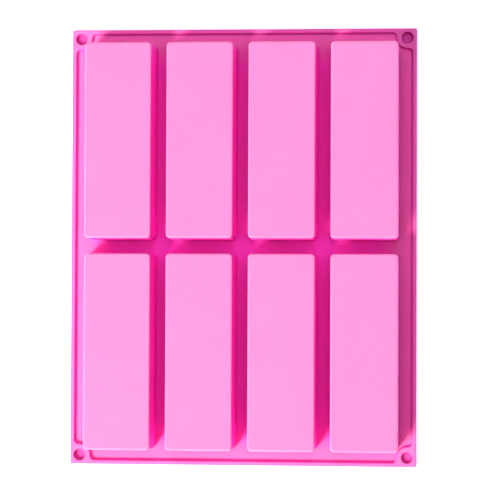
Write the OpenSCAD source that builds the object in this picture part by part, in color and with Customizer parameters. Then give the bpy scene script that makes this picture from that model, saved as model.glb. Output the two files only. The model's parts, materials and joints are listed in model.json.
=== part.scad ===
// Silicone soap mould: a flat deck sheet with rows of drafted rectangular cups.
// It lies mouth-down: the open mouths are on z = 0 and the cup bottoms point up.
// X runs across the columns, Y along the bars, Z up. The origin is the middle of the mouth face.

/* [Bars] */
// Width of a cavity at its mouth
bar_w = 39; // [30:0.5:60]
// Length of a cavity at its mouth
bar_l = 118.5; // [80:0.5:160]
// Depth of a cavity
bar_depth = 26; // [15:0.5:40]
// Draft of the cavity walls in degrees
draft = 2; // [1:0.5:7]
// Radius of a cavity's upright corners at its floor
cavity_corner_r = 2; // [2:0.1:4]
// Radius of the edge round a cavity's floor
floor_edge_r = 1.5; // [0.5:0.1:1.8]

/* [Cups] */
// Thickness of the cup walls, measured level
wall = 2; // [1.5:0.1:3]
// Thickness of the cup bottoms
floor_t = 2; // [1.5:0.1:3]
// Radius of a cup's upright corners at its bottom
corner_r = 2.5; // [2.5:0.1:5]
// Radius of the edge round the outside of the bottom
bottom_edge_r = 1.2; // [0.5:0.1:2]

/* [Deck] */
// Gap between neighbouring mouths
mouth_gap = 11.5; // [9:0.1:16]
// Distance from the outer mouths to the long edges of the deck
side_margin = 12.8; // [12:0.1:18]
// Distance from the outer mouths to the short edges of the deck
end_margin = 12; // [11:0.1:18]
// Thickness of the deck sheet
deck_t = 2; // [1.5:0.1:3]
// Radius of the deck's outer corners
deck_corner_r = 1; // [0.5:0.1:3]

/* [Rim and corners] */
// Width of the raised rim along the deck's edge
rim_w = 2.8; // [2:0.1:3.5]
// Height of the rim and the corner bosses above the mouth face
rim_h = 4.5; // [4:0.1:6]
// Radius of the round corner bosses
boss_r = 7; // [6.5:0.1:7.5]
// Radius that blends a corner boss into the rim
boss_blend_r = 2.5; // [2:0.1:3]
// Distance from the deck's edges to the middle of a corner socket
socket_inset = 5.8; // [5.5:0.1:6.5]
// Radius of the blind socket in a corner boss
socket_r = 3.5; // [2.5:0.1:4]
// Depth of the blind socket
socket_depth = 3; // [1.5:0.1:3.5]

/* [Hidden] */
ROWS = ["back", "front"];
COLUMNS = [1, 2, 3, 4];
SIDES = ["left", "right"];
last_row = len(ROWS) - 1;
last_column = len(COLUMNS) - 1;
pink = [0.96, 0.42, 0.78];
round_fn = 96;
hull_fn = 32;
edge_steps = 3;
arc_steps = 24;
through = 1;

pitch_x = bar_w + mouth_gap;
pitch_y = bar_l + mouth_gap;
deck_w = bar_w + last_column * pitch_x + 2 * side_margin;
deck_l = bar_l + last_row * pitch_y + 2 * end_margin;
mould_h = bar_depth + floor_t;
slope = tan(draft);
socket_x = deck_w / 2 - socket_inset;
socket_y = deck_l / 2 - socket_inset;

// The blend circle touches the boss and the rim's inner line
blend_in = socket_inset - rim_w - boss_blend_r;
blend_along = sqrt(pow(boss_r + boss_blend_r, 2) - pow(blend_in, 2));
blend_angle = atan2(blend_along, -blend_in);
corner_len = socket_inset + blend_along;

function cup_name(row, column) = str("cup_", ROWS[row], "_", COLUMNS[column]);
function boss_name(row, side) = str("corner_boss_", ROWS[row], "_", SIDES[side]);
// Signed position of row 0 (back) and row 1 (front), or of side 0 (left) and side 1 (right)
function row_sign(row) = row == 0 ? 1 : -1;
function side_sign(side) = side == 0 ? -1 : 1;
function column_x(column) = (column - last_column / 2) * pitch_x;
function row_y(row) = row_sign(row) * pitch_y / 2;
// How far the walls have drawn in at height z, and a cup's corner radius there
function inset(z) = z * slope;
function outer_r(z) = corner_r + inset(mould_h) - inset(z);

// Points on an arc, from one angle to another
function arc(centre, r, from, to) = [
    for (i = [0:arc_steps]) let (a = from + (to - from) * i / arc_steps)
        centre + r * [cos(a), sin(a)]
];

// Rectangle about the origin with round corners
module rounded_plan(w, l, r) {
    x = w / 2 - r;
    y = l / 2 - r;
    polygon(concat(
        arc([x, y], r, 0, 90),
        arc([-x, y], r, 90, 180),
        arc([-x, -y], r, 180, 270),
        arc([x, -y], r, 270, 360)
    ));
}

// Level outline of a cup's outside at the deck
module foot_outline()
    rounded_plan(
        bar_w + 2 * wall - 2 * inset(deck_t),
        bar_l + 2 * wall - 2 * inset(deck_t),
        outer_r(deck_t)
    );

// Quarter round from the side of a post of radius r to its top at height z
function top_edge(r, z, edge_r) = [
    for (i = [0:edge_steps]) let (a = 90 * i / edge_steps)
        [r - edge_r + edge_r * cos(a), z - edge_r + edge_r * sin(a)]
];

// Block with a post of the given profile at each corner of a level rectangle
module posted_block(x, y, profile)
    hull()
        for (sx = [-1, 1], sy = [-1, 1])
            translate([sx * x, sy * y]) rotate_extrude($fn = hull_fn) polygon(profile);

// Outside of one cup as a solid block, upright through the deck and tapered above it
module cup_outside() {
    r = outer_r(deck_t);
    posted_block(
        bar_w / 2 + wall - inset(deck_t) - r,
        bar_l / 2 + wall - inset(deck_t) - r,
        concat(
            [[0, 0], [r, 0], [r, deck_t]],
            top_edge(outer_r(mould_h), mould_h, bottom_edge_r),
            [[0, mould_h]]
        )
    );
}

// Space inside one cup, running out below the mouth
module cup_inside() {
    r = cavity_corner_r;
    posted_block(
        bar_w / 2 - inset(bar_depth) - r,
        bar_l / 2 - inset(bar_depth) - r,
        concat(
            [[0, -through], [r + inset(bar_depth + through), -through]],
            top_edge(r, bar_depth, floor_edge_r),
            [[0, bar_depth]]
        )
    );
}

module cup(row, column)
    color(pink)
        translate([column_x(column), row_y(row)])
            difference() {
                cup_outside();
                cup_inside();
            }

// Plan of the back right corner boss, before the deck and the corner cup trim it
module boss_outline()
    translate([socket_x, socket_y])
        polygon(concat(
            [[socket_inset, -blend_along]],
            arc([blend_in, -blend_along], boss_blend_r, 0, blend_angle),
            arc([0, 0], boss_r, blend_angle - 180, -90 - blend_angle),
            arc([-blend_along, blend_in], boss_blend_r, 90 - blend_angle, 90),
            [[-blend_along, socket_inset], [socket_inset, socket_inset]]
        ));

module corner_boss(row, side)
    color(pink)
        scale([side_sign(side), row_sign(row)])
            difference() {
                linear_extrude(rim_h)
                    difference() {
                        intersection() {
                            boss_outline();
                            rounded_plan(deck_w, deck_l, deck_corner_r);
                        }
                        translate([column_x(last_column), row_y(0)]) foot_outline();
                    }
                translate([socket_x, socket_y, rim_h - socket_depth])
                    cylinder(h = socket_depth + through, r = socket_r, $fn = round_fn);
            }

// Straight rims between the corner bosses
module long_rim(side)
    color(pink)
        translate([side_sign(side) * (deck_w - rim_w) / 2, 0, rim_h / 2])
            cube([rim_w, deck_l - 2 * corner_len, rim_h], center = true);

module short_rim(row)
    color(pink)
        translate([0, row_sign(row) * (deck_l - rim_w) / 2, rim_h / 2])
            cube([deck_w - 2 * corner_len, rim_w, rim_h], center = true);

module deck_web()
    color(pink)
        linear_extrude(deck_t)
            difference() {
                square([deck_w - 2 * rim_w, deck_l - 2 * rim_w], center = true);
                for (x = [-1, 1], y = [-1, 1]) scale([x, y]) boss_outline();
                for (row = [0:last_row], column = [0:last_column])
                    translate([column_x(column), row_y(row)]) foot_outline();
            }

deck_web();
for (row = [0:last_row], column = [0:last_column])
    cup(row, column);
for (row = [0:last_row], side = [0, 1])
    corner_boss(row, side);
short_rim(0);  // rim_back
short_rim(1);  // rim_front
long_rim(0);  // rim_left
long_rim(1);  // rim_right
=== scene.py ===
import json
import math

import bmesh
import bpy
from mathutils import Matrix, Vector
from mathutils.geometry import delaunay_2d_cdt


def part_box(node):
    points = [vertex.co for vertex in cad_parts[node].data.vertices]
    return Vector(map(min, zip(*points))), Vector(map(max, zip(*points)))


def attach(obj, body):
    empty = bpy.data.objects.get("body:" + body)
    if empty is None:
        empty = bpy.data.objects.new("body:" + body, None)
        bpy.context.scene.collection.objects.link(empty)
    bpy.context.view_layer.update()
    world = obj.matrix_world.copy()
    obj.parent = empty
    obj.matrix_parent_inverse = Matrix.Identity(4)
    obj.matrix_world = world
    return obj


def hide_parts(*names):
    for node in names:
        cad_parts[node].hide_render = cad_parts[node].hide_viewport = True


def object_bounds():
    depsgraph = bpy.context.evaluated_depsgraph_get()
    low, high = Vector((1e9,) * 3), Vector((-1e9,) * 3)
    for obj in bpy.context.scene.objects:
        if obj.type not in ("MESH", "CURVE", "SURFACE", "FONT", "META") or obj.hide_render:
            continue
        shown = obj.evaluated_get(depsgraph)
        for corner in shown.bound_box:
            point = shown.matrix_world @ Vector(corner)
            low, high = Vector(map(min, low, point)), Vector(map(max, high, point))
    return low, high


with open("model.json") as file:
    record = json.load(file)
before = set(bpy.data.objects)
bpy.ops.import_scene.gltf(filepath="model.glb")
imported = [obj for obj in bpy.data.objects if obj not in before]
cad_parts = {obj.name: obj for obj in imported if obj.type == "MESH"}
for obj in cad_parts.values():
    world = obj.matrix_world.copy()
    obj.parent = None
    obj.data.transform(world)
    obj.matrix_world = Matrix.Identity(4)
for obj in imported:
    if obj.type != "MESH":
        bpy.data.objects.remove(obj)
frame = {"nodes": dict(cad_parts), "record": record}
cad_low, cad_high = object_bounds()

# Sizes and places come from the frame. Lengths are in metres.
MM = 0.001
DECK_X, DECK_Y = cad_high.x, cad_high.y
DECK_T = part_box("deck_web")[1].z
RIM_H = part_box("rim_left")[1].z
RIM_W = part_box("rim_left")[1].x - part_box("rim_left")[0].x
CORNER_LEN = DECK_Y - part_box("rim_left")[1].y
MOULD_H = cad_high.z
CUPS = [name for name in frame["nodes"] if name.startswith("cup_")]
CUP_LOW, CUP_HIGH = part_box("cup_back_1")
FOOT_X = (CUP_HIGH.x - CUP_LOW.x) / 2
FOOT_Y = (CUP_HIGH.y - CUP_LOW.y) / 2
SOCKET = next(m for m in frame["record"]["mounts"] if m["name"] == "socket_back_right")
SOCKET_X, SOCKET_Y = SOCKET["pos_m"][:2]
SOCKET_R = SOCKET["dims"]["r_mm"] * MM
SOCKET_FLOOR_Z = RIM_H - SOCKET["dims"]["length_mm"] * MM

# The design's own shape values that no box shows
SLOPE = math.tan(math.radians(2))
WALL = 2 * MM
FLOOR_T = 2 * MM
BOTTOM_CORNER_R = 2.5 * MM
CAVITY_CORNER_R = 2 * MM
BOSS_R = 7 * MM
BOSS_BLEND_R = 2.5 * MM
DECK_CORNER_R = 1 * MM

# Moulded edges and blends
CUP_SKIRT = 0.5 * MM
FOOT_FILLET = 0.45 * MM
BOTTOM_EDGE_R = 1.2 * MM
CAVITY_FLOOR_R = 1.5 * MM
MOUTH_EDGE_R = 0.8 * MM
RIM_SKIRT = 0.42 * MM
RIM_FOOT_FILLET = 0.38 * MM
RIM_LEAN = 0.3 * MM
RIM_INNER_EDGE_R = 0.5 * MM
RIM_OUTER_EDGE_R = 0.7 * MM
RIM_LOWER_EDGE_R = 0.4 * MM
SOCKET_EDGE_R = 0.5 * MM
SOCKET_FLOOR_R = 1.1 * MM
SOCKET_LEAN = 0.15 * MM

# Flat margins that the rounded edges run out into
CUP_MARGIN = 1.8 * MM
RIM_INNER_MARGIN = 0.6 * MM
RIM_OUTER_MARGIN = 0.75 * MM
RIM_LOWER_MARGIN = 0.6 * MM
SOCKET_LIP_MARGIN = 0.1 * MM
SOCKET_FLOOR_MARGIN = 1.6 * MM

ARC_STEPS = 6
STRAIGHT_STEP = 5 * MM
FLAT_STEP = 6 * MM
SOCKET_STEP = 1 * MM
TABLE_GAP = 0.1 * MM
TABLE_HALF = 4
SEAM_ANGLE = math.radians(40)

# The silicone's tones, each as the two ends of its mottling
BODY = (0.94, 0.112, 0.62), (0.96, 0.128, 0.65)
# Painted light: a paler tone for the upward border faces, standing in for the key light's brightening
PAINTED_LIGHT_BORDER = (0.88, 0.18, 0.43), (0.90, 0.20, 0.46)
# Painted shade: a darker, more purple tone along the foot of the rim
PAINTED_SHADE_RIM_FOOT = (0.70, 0.15, 0.43), (0.72, 0.16, 0.45)
# Painted shade: a darker tone inside the corner sockets
PAINTED_SHADE_IN_SOCKET = (0.66, 0.075, 0.34), (0.68, 0.085, 0.36)
# Painted light: a paler tone for the lit cup bottoms
PAINTED_LIGHT_CUP_BOTTOM = (0.74, 0.212, 0.445), (0.76, 0.232, 0.465)
# Painted highlight: a still paler tone along the cup bottoms' rounded edges
PAINTED_HIGHLIGHT_BOTTOM_EDGE = (0.84, 0.29, 0.51), (0.86, 0.31, 0.53)


def polyline(points):
    """Points along a 2D line whose corners (x, y, radius) are rounded by tangent arcs."""
    line = [Vector(points[0][:2])]
    for before, corner, after in zip(points, points[1:], points[2:]):
        at, radius = Vector(corner[:2]), corner[2]
        if radius == 0:
            line.append(at)
            continue
        back = (Vector(before[:2]) - at).normalized()
        ahead = (Vector(after[:2]) - at).normalized()
        half = back.angle(ahead) / 2
        centre = at + (back + ahead).normalized() * (radius / math.sin(half))
        start = at + back * (radius / math.tan(half)) - centre
        end = at + ahead * (radius / math.tan(half)) - centre
        turn = start.angle_signed(end)
        for step in range(ARC_STEPS + 1):
            a = -turn * step / ARC_STEPS
            line.append(centre + Vector((start.x * math.cos(a) - start.y * math.sin(a),
                                         start.x * math.sin(a) + start.y * math.cos(a))))
    line.append(Vector(points[-1][:2]))
    return line


def divided(start, end):
    """Points from start up to, but not at, end, about STRAIGHT_STEP apart."""
    count = max(1, round((end - start).length / STRAIGHT_STEP))
    return [start.lerp(end, i / count) for i in range(count)]


def arc(centre, radius, start_deg, end_deg, steps=ARC_STEPS + 2):
    """Points on an arc from start up to, but not at, its end."""
    points = []
    for i in range(steps):
        a = math.radians(start_deg + (end_deg - start_deg) * i / steps)
        points.append(centre + radius * Vector((math.cos(a), math.sin(a))))
    return points


def mirrored(quadrant):
    """A closed loop from the points of its +X +Y quarter, which run from the X axis to the Y axis."""
    loop = list(quadrant)
    loop += [Vector((-p.x, p.y)) for p in reversed(quadrant)]
    loop += [Vector((-p.x, -p.y)) for p in quadrant]
    loop += [Vector((p.x, -p.y)) for p in reversed(quadrant)]
    kept = []
    for p in loop:
        if not kept or (p - kept[-1]).length > 1e-7:
            kept.append(p)
    if (kept[0] - kept[-1]).length < 1e-7:
        kept.pop()
    return kept


def rectangle(half_x, half_y, radius, base=None):
    """A rectangle with round corners. base gives the sizes whose straight stretches set the point count."""
    base_x, base_y, base_r = base or (half_x, half_y, radius)
    count_y = max(1, round((base_y - base_r) / STRAIGHT_STEP))
    count_x = max(1, round((base_x - base_r) / STRAIGHT_STEP))
    corner = Vector((half_x - radius, half_y - radius))
    quadrant = [Vector((half_x, corner.y * i / count_y)) for i in range(count_y)]
    quadrant += arc(corner, radius, 0, 90)
    quadrant += [Vector((corner.x * (count_x - i) / count_x, half_y)) for i in range(count_x + 1)]
    return mirrored(quadrant)


def inner_line(out):
    """The edge of the rim and corner bosses that faces the cups, moved out into them by out."""
    socket = Vector((SOCKET_X, SOCKET_Y))
    line_x = DECK_X - RIM_W
    line_y = DECK_Y - RIM_W
    blend_in = line_x - BOSS_BLEND_R - SOCKET_X
    blend_along = math.sqrt((BOSS_R + BOSS_BLEND_R) ** 2 - blend_in ** 2)
    blend_deg = math.degrees(math.atan2(blend_along, -blend_in))
    low = socket + Vector((blend_in, -blend_along))
    high = socket + Vector((-blend_along, blend_in))
    blend_r = BOSS_BLEND_R + out
    quadrant = divided(Vector((line_x + out, 0)), Vector((line_x + out, low.y)))
    quadrant += arc(low, blend_r, 0, blend_deg)
    quadrant += arc(socket, BOSS_R - out, blend_deg + 180, 270 - blend_deg, 3 * ARC_STEPS)
    quadrant += arc(high, blend_r, 90 - blend_deg, 90)
    quadrant += divided(Vector((high.x, line_y + out)), Vector((0, line_y + out)))
    return mirrored(quadrant + [Vector((0, line_y + out))])


def circle(centre, radius, steps=48):
    return arc(centre, radius, 0, 360, steps)


def ring(bm, loop, z):
    return [bm.verts.new((p.x, p.y, z)) for p in loop]


def bridge(bm, first, second):
    """Quads between two rings with the same number of points."""
    count = len(first)
    for i in range(count):
        j = (i + 1) % count
        bm.faces.new((first[i], first[j], second[j], second[i]))


def skin(bm, loops):
    """Rings at (loop, z) joined in turn. Gives the first and the last ring."""
    rings = [ring(bm, loop, z) for loop, z in loops]
    for first, second in zip(rings, rings[1:]):
        bridge(bm, first, second)
    return rings[0], rings[-1]


def crossings(point, loop):
    """How often a line from the point towards +X crosses the loop."""
    count = 0
    for a, b in zip(loop, loop[1:] + loop[:1]):
        if (a.y > point.y) != (b.y > point.y):
            count += point.x < a.x + (point.y - a.y) / (b.y - a.y) * (b.x - a.x)
    return count


def fill(bm, rings, z, spacing=FLAT_STEP):
    """A flat face with inner points between rings of bmesh vertices, the first of them the outer one."""
    loops = [[Vector(v.co.xy) for v in r] for r in rings]
    verts = [v for r in rings for v in r]
    points = [p for loop in loops for p in loop]
    edges = []
    for r in rings:
        base = len(edges)
        edges += [(base + i, base + (i + 1) % len(r)) for i in range(len(r))]
    low = Vector((min(p.x for p in loops[0]), min(p.y for p in loops[0])))
    high = Vector((max(p.x for p in loops[0]), max(p.y for p in loops[0])))
    for i in range(1, int((high.x - low.x) / spacing) + 1):
        for j in range(1, int((high.y - low.y) / spacing) + 1):
            p = low + Vector((i, j + 0.5 * (i % 2))) * spacing
            inside = sum(crossings(p, loop) for loop in loops) % 2 == 1
            if inside and min((p - q).length for q in points[:len(edges)]) > spacing * 0.45:
                points.append(p)
    found, _, faces, origin, _, _ = delaunay_2d_cdt(points, edges, [], 0, 1e-8)
    made = [verts[o[0]] if o and o[0] < len(verts) else bm.verts.new((p.x, p.y, z))
            for p, o in zip(found, origin)]
    for face in faces:
        middle = sum((Vector(found[i]) for i in face), Vector((0, 0))) / len(face)
        if sum(crossings(middle, loop) for loop in loops) % 2 == 1:
            bm.faces.new([made[i] for i in face])


def finished(bm, name, node, material):
    """Turns a bmesh into the piece that stands for a CAD node, with crisp seams and smooth rounds."""
    bmesh.ops.recalc_face_normals(bm, faces=bm.faces)
    mesh = bpy.data.meshes.new(name)
    bm.to_mesh(mesh)
    bm.free()
    mesh.shade_smooth()
    mesh.set_sharp_from_angle(angle=SEAM_ANGLE)
    piece = bpy.data.objects.new(name, mesh)
    bpy.context.scene.collection.objects.link(piece)
    normals = piece.modifiers.new("even_faces", "WEIGHTED_NORMAL")
    normals.keep_sharp = True
    mesh.materials.append(material)
    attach(piece, "root")
    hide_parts(node)


def cup_loops():
    """The rings of one cup, from its cavity floor down to the mouth and up outside to its bottom."""
    floor_z = MOULD_H - FLOOR_T
    foot_r = BOTTOM_CORNER_R + SLOPE * (MOULD_H - DECK_T)
    outer_top = -SLOPE * (MOULD_H - DECK_T)
    floor_x = FOOT_X - WALL - SLOPE * (floor_z - DECK_T)
    floor_y = FOOT_Y - WALL - SLOPE * (floor_z - DECK_T)
    inside = polyline([
        (-CUP_MARGIN, floor_z, 0),
        (0, floor_z, CAVITY_FLOOR_R),
        (SLOPE * floor_z, 0, MOUTH_EDGE_R),
        (SLOPE * floor_z + CUP_MARGIN, 0, 0),
    ])
    outside = polyline([
        (CUP_SKIRT, 0, 0),
        (CUP_SKIRT, DECK_T, 0),
        (0, DECK_T, FOOT_FILLET),
        (outer_top, MOULD_H, BOTTOM_EDGE_R),
        (outer_top - CUP_MARGIN, MOULD_H, 0),
    ])
    base = (FOOT_X, FOOT_Y, foot_r)
    loops = [(rectangle(floor_x + p.x, floor_y + p.x, CAVITY_CORNER_R + p.x, base), p.y)
             for p in inside[:-1]]
    loops += [(rectangle(FOOT_X + p.x, FOOT_Y + p.x, foot_r + p.x, base), p.y)
              for p in outside]
    return loops


def make_cup(name, material):
    low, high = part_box(name)
    bm = bmesh.new()
    floor_ring, bottom_ring = skin(bm, cup_loops())
    fill(bm, [floor_ring], MOULD_H - FLOOR_T)
    fill(bm, [bottom_ring], MOULD_H)
    bmesh.ops.translate(bm, verts=bm.verts, vec=((low.x + high.x) / 2, (low.y + high.y) / 2, 0))
    finished(bm, name.replace("cup", "silicone_cup"), name, material)


def skirt_outline(name):
    """Where a cup's piece ends in the deck, as a loop in place."""
    low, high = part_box(name)
    middle = Vector(((low.x + high.x) / 2, (low.y + high.y) / 2))
    foot_r = BOTTOM_CORNER_R + SLOPE * (MOULD_H - DECK_T)
    base = (FOOT_X, FOOT_Y, foot_r)
    loop = rectangle(FOOT_X + CUP_SKIRT, FOOT_Y + CUP_SKIRT, foot_r + CUP_SKIRT, base)
    return [p + middle for p in loop]


def make_web(material):
    bm = bmesh.new()
    outline = inner_line(-RIM_SKIRT)
    holes = [skirt_outline(name) for name in CUPS]
    points = list(outline)
    edges = [(i, (i + 1) % len(outline)) for i in range(len(outline))]
    for hole in holes:
        base = len(points)
        points += hole
        edges += [(base + i, base + (i + 1) % len(hole)) for i in range(len(hole))]
    found, _, faces, _, _, _ = delaunay_2d_cdt(points, edges, [], 0, 1e-8)
    made = [bm.verts.new((p.x, p.y, DECK_T)) for p in found]
    for face in faces:
        middle = sum((Vector(found[i]) for i in face), Vector((0, 0))) / len(face)
        in_sheet = crossings(middle, outline) % 2 == 1
        if in_sheet and not any(crossings(middle, hole) % 2 for hole in holes):
            bm.faces.new([made[i] for i in face])
    bmesh.ops.delete(bm, geom=[v for v in bm.verts if not v.link_faces], context="VERTS")
    top = list(bm.faces)
    lower = bmesh.ops.extrude_face_region(bm, geom=top)["geom"]
    down = [g for g in lower if isinstance(g, bmesh.types.BMVert)]
    bmesh.ops.translate(bm, verts=down, vec=(0, 0, -DECK_T))
    finished(bm, "silicone_web", "deck_web", material)


def socket_loops(centre):
    profile = polyline([
        (SOCKET_R + SOCKET_EDGE_R + SOCKET_LIP_MARGIN, RIM_H, 0),
        (SOCKET_R, RIM_H, SOCKET_EDGE_R),
        (SOCKET_R - SOCKET_LEAN, SOCKET_FLOOR_Z, SOCKET_FLOOR_R),
        (SOCKET_R - SOCKET_FLOOR_MARGIN, SOCKET_FLOOR_Z, 0),
    ])
    return [(circle(centre, p.x), p.y) for p in profile]


def frame_mesh():
    """The raised rim with its four corner bosses, as one closed ring."""
    bm = bmesh.new()
    inner = polyline([
        (-RIM_SKIRT, 0, 0),
        (-RIM_SKIRT, DECK_T, 0),
        (0, DECK_T, RIM_FOOT_FILLET),
        (RIM_LEAN, RIM_H, RIM_INNER_EDGE_R),
        (RIM_LEAN + RIM_INNER_MARGIN, RIM_H, 0),
    ])
    outer = polyline([
        (RIM_OUTER_MARGIN, RIM_H, 0),
        (0, RIM_H, RIM_OUTER_EDGE_R),
        (0, 0, RIM_LOWER_EDGE_R),
        (RIM_LOWER_MARGIN, 0, 0),
    ])
    base = (DECK_X, DECK_Y, DECK_CORNER_R)
    inner_low, inner_top = skin(bm, [(inner_line(p.x), p.y) for p in inner])
    outer_top, outer_low = skin(bm, [
        (rectangle(DECK_X - p.x, DECK_Y - p.x, DECK_CORNER_R - p.x, base), p.y) for p in outer])
    rings = [outer_top, inner_top]
    for sx in (-1, 1):
        for sy in (-1, 1):
            lip, floor = skin(bm, socket_loops(Vector((sx * SOCKET_X, sy * SOCKET_Y))))
            fill(bm, [floor], SOCKET_FLOOR_Z, SOCKET_STEP)
            rings.append(lip)
    fill(bm, rings, RIM_H)
    fill(bm, [outer_low, inner_low], 0)
    bmesh.ops.recalc_face_normals(bm, faces=bm.faces)
    return bm


def keep_side(bm, point, outward):
    """Cuts a mesh by an upright plane, drops what lies past it and closes the cut."""
    cut = bmesh.ops.bisect_plane(
        bm, geom=bm.verts[:] + bm.edges[:] + bm.faces[:], dist=1e-7,
        plane_co=point, plane_no=outward, clear_outer=True)
    edges = [g for g in cut["geom_cut"] if isinstance(g, bmesh.types.BMEdge)]
    if edges:
        bmesh.ops.triangle_fill(bm, edges=edges, use_beauty=True, use_dissolve=False)


def make_frame(material):
    """Cuts the ring into the four rims and the four corner bosses."""
    whole = frame_mesh()
    cut_x = DECK_X - CORNER_LEN
    cut_y = DECK_Y - CORNER_LEN
    sides = {"left": -1, "right": 1}
    rows = {"back": 1, "front": -1}
    for side, sx in sides.items():
        bm = whole.copy()
        keep_side(bm, (sx * cut_x, 0, 0), (-sx, 0, 0))
        keep_side(bm, (0, cut_y, 0), (0, 1, 0))
        keep_side(bm, (0, -cut_y, 0), (0, -1, 0))
        finished(bm, "silicone_rim_" + side, "rim_" + side, material)
    for row, sy in rows.items():
        bm = whole.copy()
        keep_side(bm, (0, sy * cut_y, 0), (0, -sy, 0))
        keep_side(bm, (cut_x, 0, 0), (1, 0, 0))
        keep_side(bm, (-cut_x, 0, 0), (-1, 0, 0))
        finished(bm, "silicone_rim_" + row, "rim_" + row, material)
        for side, sx in sides.items():
            bm = whole.copy()
            keep_side(bm, (sx * cut_x, 0, 0), (-sx, 0, 0))
            keep_side(bm, (0, sy * cut_y, 0), (0, -sy, 0))
            node = "corner_boss_" + row + "_" + side
            finished(bm, "silicone_" + node, node, material)
    whole.free()


def silicone():
    """Hot-pink cured silicone: satin, translucent and faintly mottled.

    It carries painted light: paler on the lit cup bottoms and the upward border faces, with a painted
    highlight along the cup bottoms' rounded edges; and painted shade: deeper in the sockets and at the
    rim's foot.
    """
    material = bpy.data.materials.new("pink_silicone")
    material.use_nodes = True
    nodes, links = material.node_tree.nodes, material.node_tree.links
    shader = nodes["Principled BSDF"]
    shader.inputs["Subsurface Weight"].default_value = 0.35
    shader.inputs["Subsurface Radius"].default_value = (0.45, 0.35, 0.4)
    shader.inputs["Subsurface Scale"].default_value = 1.5 * MM
    shader.inputs["IOR"].default_value = 1.41
    place = nodes.new("ShaderNodeTexCoord")

    def feed(socket, value):
        if isinstance(value, bpy.types.NodeSocket):
            links.new(value, socket)
        else:
            socket.default_value = value

    def noise(scale, detail):
        node = nodes.new("ShaderNodeTexNoise")
        node.inputs["Scale"].default_value = scale
        node.inputs["Detail"].default_value = detail
        links.new(place.outputs["Object"], node.inputs["Vector"])
        return node.outputs["Fac"]

    def split(vector):
        node = nodes.new("ShaderNodeSeparateXYZ")
        links.new(vector, node.inputs["Vector"])
        return node.outputs["X"], node.outputs["Y"], node.outputs["Z"]

    def mixed(factor, first, second):
        node = nodes.new("ShaderNodeMix")
        node.data_type = "RGBA"
        feed(node.inputs["Factor"], factor)
        feed(node.inputs["A"], first)
        feed(node.inputs["B"], second)
        return node.outputs["Result"]

    def calc(operation, *values):
        node = nodes.new("ShaderNodeMath")
        node.operation = operation
        for socket, value in zip(node.inputs, values):
            feed(socket, value)
        return node.outputs["Value"]

    def ramp(value, low, high):
        """0 to 1 as the value goes from low to high."""
        node = nodes.new("ShaderNodeMapRange")
        node.inputs["From Min"].default_value = low
        node.inputs["From Max"].default_value = high
        links.new(value, node.inputs["Value"])
        return node.outputs["Result"]

    def fade(value, edge, start_mm, end_mm):
        """0 to 1 as the value goes from start to end, in millimetres past an edge."""
        return ramp(value, edge + start_mm * MM, edge + end_mm * MM)

    x, y, z = split(place.outputs["Object"])
    facing = split(nodes.new("ShaderNodeNewGeometry").outputs["True Normal"])
    side = calc("ABSOLUTE", x)
    end = calc("ABSOLUTE", y)
    corner_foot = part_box("cup_back_4")[1]

    # Painted light: upward faces in the border take the paler border tone
    past_cups = calc("MAXIMUM", fade(side, corner_foot.x, -14, 0), fade(end, corner_foot.y, -14, 0))
    above_sockets = fade(z, DECK_T, -0.3, -0.1)
    upward = ramp(facing[2], 0.4, 0.9)
    painted_light_on_border = calc("MULTIPLY", past_cups, calc("MULTIPLY", upward, above_sockets))

    # Painted shade: a darker band along the rim's foot, where its shadow line falls
    below_rim_top = fade(z, RIM_H, -0.1, -0.5)
    near_rim = calc("MAXIMUM", fade(side, DECK_X - RIM_W, -1.4, -0.6),
                    fade(end, DECK_Y - RIM_W, -1.4, -0.6))
    painted_shade_at_rim_foot = calc("MULTIPLY", near_rim, calc("MULTIPLY", below_rim_top, above_sockets))

    # Painted shade: the inside of each socket takes the darker socket tone
    across = calc("SUBTRACT", side, SOCKET_X)
    along = calc("SUBTRACT", end, SOCKET_Y)
    from_socket = calc("SQRT", calc("ADD", calc("MULTIPLY", across, across),
                                    calc("MULTIPLY", along, along)))
    above_floor = fade(z, SOCKET_FLOOR_Z, -0.4, -0.1)
    painted_shade_in_socket = calc("MULTIPLY", fade(from_socket, SOCKET_R, 0.3, 0),
                     calc("MULTIPLY", below_rim_top, above_floor))

    # Painted light: the cup bottoms take the paler bottom tone
    painted_light_on_bottom = fade(z, MOULD_H, -2, -1)
    # Painted highlight: the rounded edges of the cup bottoms take the palest tone
    painted_highlight_on_edge = calc("MULTIPLY", painted_light_on_bottom, fade(z, MOULD_H, -0.05, -0.4))

    mottle = noise(30, 3)
    tones = [mixed(mottle, (*dark, 1), (*light, 1))
             for dark, light in (BODY, PAINTED_LIGHT_BORDER, PAINTED_SHADE_RIM_FOOT, PAINTED_SHADE_IN_SOCKET, PAINTED_LIGHT_CUP_BOTTOM, PAINTED_HIGHLIGHT_BOTTOM_EDGE)]
    colour = tones[0]
    for where, tone in zip((painted_light_on_border, painted_shade_at_rim_foot, painted_shade_in_socket, painted_light_on_bottom, painted_highlight_on_edge), tones[1:]):
        colour = mixed(where, colour, tone)
    links.new(colour, shader.inputs["Base Color"])

    roughness = nodes.new("ShaderNodeMapRange")
    roughness.inputs["To Min"].default_value = 0.42
    roughness.inputs["To Max"].default_value = 0.58
    links.new(noise(120, 4), roughness.inputs["Value"])
    links.new(roughness.outputs["Result"], shader.inputs["Roughness"])

    broad = nodes.new("ShaderNodeBump")
    broad.inputs["Distance"].default_value = 0.25 * MM
    broad.inputs["Strength"].default_value = 0.6
    links.new(noise(45, 1), broad.inputs["Height"])
    fine = nodes.new("ShaderNodeBump")
    fine.inputs["Distance"].default_value = 0.02 * MM
    fine.inputs["Strength"].default_value = 0.5
    links.new(noise(1500, 2), fine.inputs["Height"])
    links.new(broad.outputs["Normal"], fine.inputs["Normal"])
    links.new(fine.outputs["Normal"], shader.inputs["Normal"])
    return material


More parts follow.
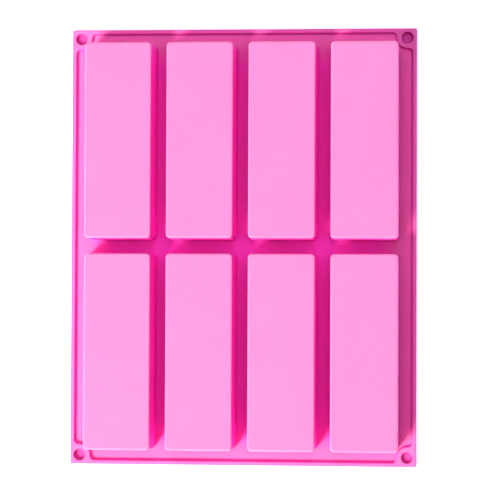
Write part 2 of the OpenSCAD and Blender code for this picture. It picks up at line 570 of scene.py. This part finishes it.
def make_floor():
    material = bpy.data.materials.new("white_table")
    material.use_nodes = True
    shader = material.node_tree.nodes["Principled BSDF"]
    shader.inputs["Base Color"].default_value = (0.92, 0.92, 0.92, 1)
    shader.inputs["Roughness"].default_value = 0.6
    shader.inputs["Emission Color"].default_value = (1, 1, 1, 1)
    shader.inputs["Emission Strength"].default_value = 0.3
    half = TABLE_HALF
    corners = [(-half, -half), (half, -half), (half, half), (-half, half)]
    mesh = bpy.data.meshes.new("table")
    mesh.from_pydata([(x, y, -TABLE_GAP) for x, y in corners], [], [(0, 1, 2, 3)])
    mesh.materials.append(material)
    table = bpy.data.objects.new("table", mesh)
    bpy.context.scene.collection.objects.link(table)


def softbox(name, azimuth, elevation, distance, width, watts, colour):
    """A round area light that faces the mould."""
    light = bpy.data.lights.new(name, "AREA")
    light.color = colour
    light.shape = "DISK"
    light.size = width
    light.energy = watts
    azimuth, elevation = math.radians(azimuth), math.radians(elevation)
    away = Vector((math.cos(azimuth) * math.cos(elevation),
                   math.sin(azimuth) * math.cos(elevation), math.sin(elevation)))
    lamp = bpy.data.objects.new(name, light)
    lamp.location = away * distance
    lamp.rotation_euler = away.to_track_quat("Z", "Y").to_euler()
    bpy.context.scene.collection.objects.link(lamp)


def make_world():
    """A white backdrop near the horizon under a dim ceiling."""
    world = bpy.data.worlds.new("studio")
    bpy.context.scene.world = world
    world.use_nodes = True
    nodes, links = world.node_tree.nodes, world.node_tree.links
    place = nodes.new("ShaderNodeTexCoord")
    apart = nodes.new("ShaderNodeSeparateXYZ")
    links.new(place.outputs["Generated"], apart.inputs["Vector"])
    fade = nodes.new("ShaderNodeMapRange")
    fade.inputs["From Min"].default_value = 0.02
    fade.inputs["From Max"].default_value = 0.15
    fade.inputs["To Min"].default_value = 0.9
    fade.inputs["To Max"].default_value = 0.03
    links.new(apart.outputs["Z"], fade.inputs["Value"])
    background = nodes["Background"]
    background.inputs["Color"].default_value = (1, 1, 1, 1)
    links.new(fade.outputs["Result"], background.inputs["Strength"])


def make_lights():
    """A large warm key at the left front and three weaker, cooler softboxes higher up."""
    make_world()
    warm, cool = (1, 1, 0.8), (1, 1, 1.3)
    softbox("key", 229, 45, 3, 1.05, 112, warm)
    softbox("fill_left", 180, 60, 2.5, 1.8, 6, cool)
    softbox("fill_right", 0, 60, 2.5, 1.8, 10, cool)
    softbox("fill_back", 90, 60, 2.5, 1.8, 16, cool)


def make_camera():
    data = bpy.data.cameras.new("camera")
    data.sensor_width = 36
    data.lens = 127.25
    data.clip_end = 20
    camera = bpy.data.objects.new("camera", data)
    camera.location = (0.0818, -0.0270, 1.1043)
    camera.rotation_euler = [math.radians(a) for a in (1.316, 4.017, 0.239)]
    bpy.context.scene.collection.objects.link(camera)
    bpy.context.scene.camera = camera
    view = bpy.context.scene.view_settings
    view.view_transform = "Standard"
    view.look = "High Contrast"


make_camera()
make_lights()
make_floor()
pink = silicone()
for cup in CUPS:
    make_cup(cup, pink)
make_web(pink)
make_frame(pink)
